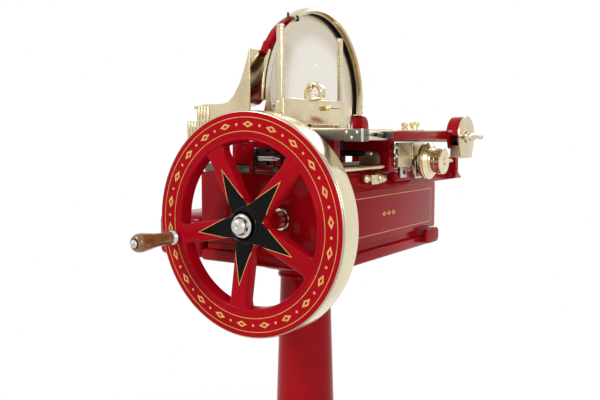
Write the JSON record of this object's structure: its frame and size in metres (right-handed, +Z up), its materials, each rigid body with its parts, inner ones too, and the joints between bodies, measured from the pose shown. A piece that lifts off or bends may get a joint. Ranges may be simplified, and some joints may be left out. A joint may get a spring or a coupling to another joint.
{
  "type": "hand crank meat slicer",
  "caption": "Flywheel meat slicer on a column, with a spoked crank wheel, a round vertical knife, a sliding meat carriage with its press and screw feed, and a thickness dial.",
  "frame": {"origin": "on the floor under the column's axis", "axes": "+Z up, +Y along the main shaft from the flywheel into the machine, +X to the right seen from the crank"},
  "size_m": [0.532, 0.8348, 1.2669],
  "materials": {
    "red_enamel": "deep crimson gloss enamel",
    "nickel": "polished nickel plate",
    "steel": "machined steel",
    "brass": "polished",
    "cast_iron": "oiled",
    "cream_steel": "ground, warm grey",
    "wood": "varnished turned hardwood"
  },
  "bodies": {
    "frame": {"base_tray": "red_enamel", "body_box": "red_enamel", "carriage_chain": "steel", "cross_bearing": "cast_iron", "deck": "red_enamel", "dial_bracket": "cream_steel", "fender_front": "nickel", "fender_post": "red_enamel", "front_bearing": "nickel", "front_panel": "red_enamel", "guard_arm": "red_enamel", "guard_bracket": "red_enamel", "guard_front": "nickel", "guard_ring": "nickel", "idler_bracket": "cast_iron", "knife_chain": "steel", "knife_pedestal": "red_enamel", "left_rail": "steel", "pedestal_base": "red_enamel", "pedestal_column": "red_enamel", "rear_bearing": "cast_iron", "rod_post_front": "red_enamel", "rod_post_rear": "red_enamel", "side_wing": "red_enamel", "slice_deflector": "nickel", "slide_rod": "nickel", "steel_bar": "steel", "tray_lug": "red_enamel"},
    "wheel": {"flywheel": "red_enamel", "flywheel_rim": "nickel", "hub_nut": "nickel", "main_shaft": "steel", "main_bevel": "cast_iron", "crank_spindle": "steel"},
    "grip": {"wooden_grip": "wood"},
    "cross": {"cross_shaft": "steel"},
    "knife": {"knife_blade": "nickel", "knife_shaft": "steel"},
    "drive": {"vertical_shaft": "steel"},
    "idler": {"idler_sprocket": "cast_iron"},
    "carriage": {"carriage_table": "cream_steel", "front_band": "steel", "corner_bracket": "steel", "side_bar": "cream_steel", "feed_arm": "red_enamel", "front_leg": "red_enamel", "rear_leg": "red_enamel", "drive_dog": "steel", "rear_rail": "cream_steel", "feed_housing": "red_enamel", "feed_plate": "nickel"},
    "feed_screw": {"feed_screw": "steel", "feed_handle": "nickel"},
    "feed_slide": {"feed_slide": "nickel", "press_post_front": "nickel", "press_post_rear": "steel"},
    "press": {"press_bar": "nickel", "press_knob": "nickel", "press_latch": "brass"},
    "dial": {"thickness_dial": "nickel"}
  },
  "joints": [
    {"name": "wheel_spin", "type": "hinge", "parent": "frame", "child": "wheel", "pos_m": [0.045, -0.254, 0.87], "axis": [0, 1, 0], "continuous": true},
    {"name": "grip_spin", "type": "hinge", "parent": "wheel", "child": "grip", "pos_m": [-0.11401, -0.3, 0.838], "axis": [0, 1, 0], "continuous": true},
    {"name": "cross_spin", "type": "hinge", "parent": "frame", "child": "cross", "pos_m": [-0.06, 0.036, 0.87], "axis": [1, 0, 0], "continuous": true},
    {"name": "knife_spin", "type": "hinge", "parent": "frame", "child": "knife", "pos_m": [-0.0025, 0.036, 1.091], "axis": [1, 0, 0], "continuous": true},
    {"name": "drive_spin", "type": "hinge", "parent": "frame", "child": "drive", "pos_m": [0.045, 0.169, 0.87], "axis": [0, 0, 1], "continuous": true},
    {"name": "idler_spin", "type": "hinge", "parent": "frame", "child": "idler", "pos_m": [0.045, -0.089, 0.925], "axis": [0, 0, 1], "continuous": true},
    {"name": "carriage_slide", "type": "slide", "parent": "frame", "child": "carriage", "axis": [0, 1, 0], "range_m": [0, 0.33]},
    {"name": "feed_turn", "type": "hinge", "parent": "carriage", "child": "feed_screw", "pos_m": [0.1, 0.203, 1.015], "axis": [1, 0, 0], "range_deg": [0, 3600]},
    {"name": "feed_travel", "type": "slide", "parent": "carriage", "child": "feed_slide", "axis": [1, 0, 0], "range_m": [0, 0.12]},
    {"name": "press_lift", "type": "slide", "parent": "feed_slide", "child": "press", "axis": [0, 0, 1], "range_m": [0, 0.11]},
    {"name": "dial_turn", "type": "hinge", "parent": "frame", "child": "dial", "pos_m": [0.17, 0.2, 0.966], "axis": [1, 0, 0], "range_deg": [0, 330]}
  ],
  "couplings": [
    {"joint": "cross_spin", "follows": "wheel_spin", "ratio": -3},
    {"joint": "knife_spin", "follows": "wheel_spin", "ratio": -3},
    {"joint": "drive_spin", "follows": "wheel_spin", "ratio": -2},
    {"joint": "idler_spin", "follows": "wheel_spin", "ratio": -2},
    {"joint": "feed_turn", "follows": "feed_travel", "rad_per_m": 523.6}
  ]
}
